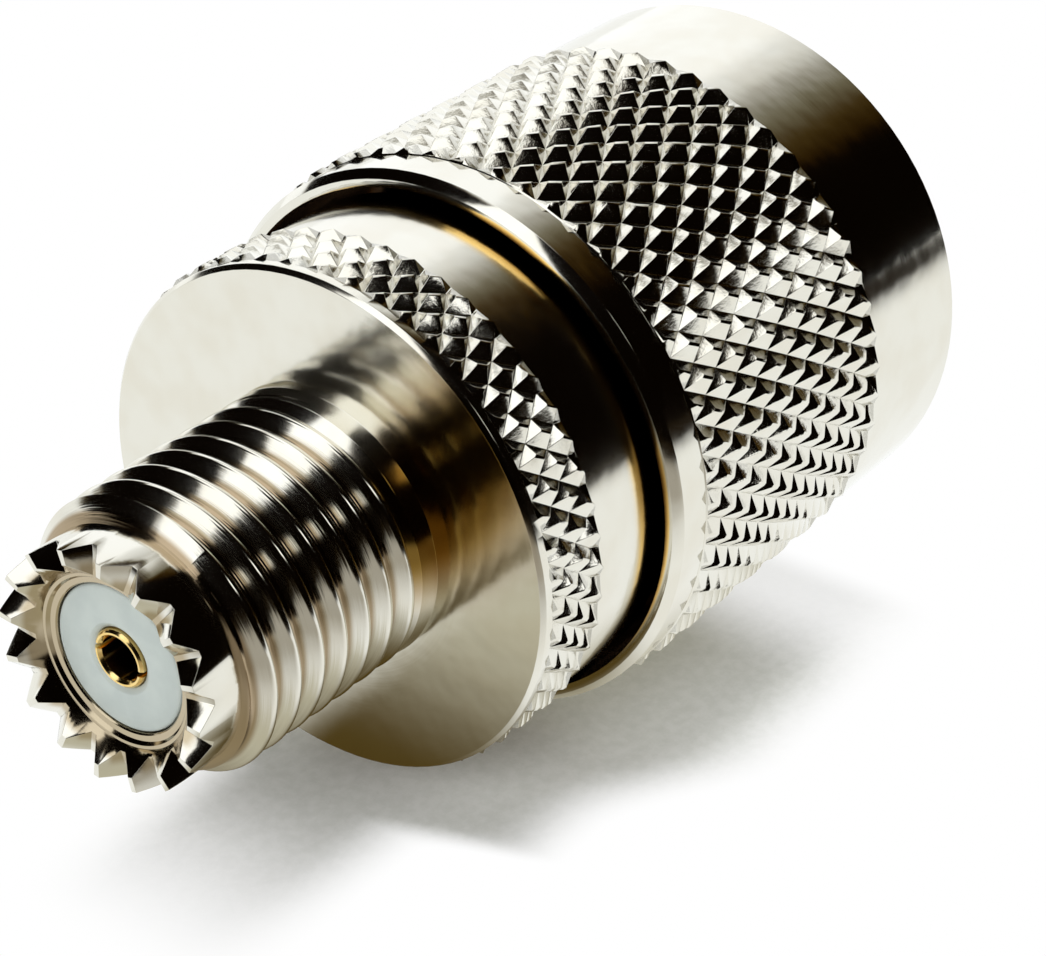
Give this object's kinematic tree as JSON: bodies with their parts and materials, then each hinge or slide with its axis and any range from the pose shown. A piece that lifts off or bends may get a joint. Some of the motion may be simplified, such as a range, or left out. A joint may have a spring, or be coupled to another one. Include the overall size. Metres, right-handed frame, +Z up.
{
  "type": "coaxial adapter",
  "caption": "Straight coaxial adapter with a threaded jack and serrated crown on one end and a plug with a knurled coupling nut on the other.",
  "frame": {"origin": "on the common axis, at the plug shell's mating face inside the coupling nut", "axes": "+X along the axis, out of the mouth of the coupling nut; +Z up as the adapter lies on a table"},
  "size_m": [0.0333, 0.0198, 0.0198],
  "materials": {
    "nickel_plate": "bright nickel plate over brass",
    "spring_steel": "plain spring steel",
    "insulator": "matte pale blue-grey moulding",
    "gold_plate": "gold plate over a copper alloy"
  },
  "bodies": {
    "adapter_body": {"jack_body": "nickel_plate", "plug_shell": "nickel_plate", "jack_insulator": "insulator", "plug_insulator": "insulator", "socket_contact": "gold_plate", "plug_pin": "nickel_plate"},
    "ring": {"retaining_ring": "spring_steel"},
    "nut": {"coupling_nut": "nickel_plate"}
  },
  "joints": [
    {"name": "nut_slide", "type": "slide", "parent": "adapter_body", "child": "ring", "axis": [1, 0, 0], "range_m": [-0.0024, 0]},
    {"name": "nut_spin", "type": "hinge", "parent": "ring", "child": "nut", "pos_m": [0, 0, 0], "axis": [1, 0, 0], "continuous": true}
  ]
}
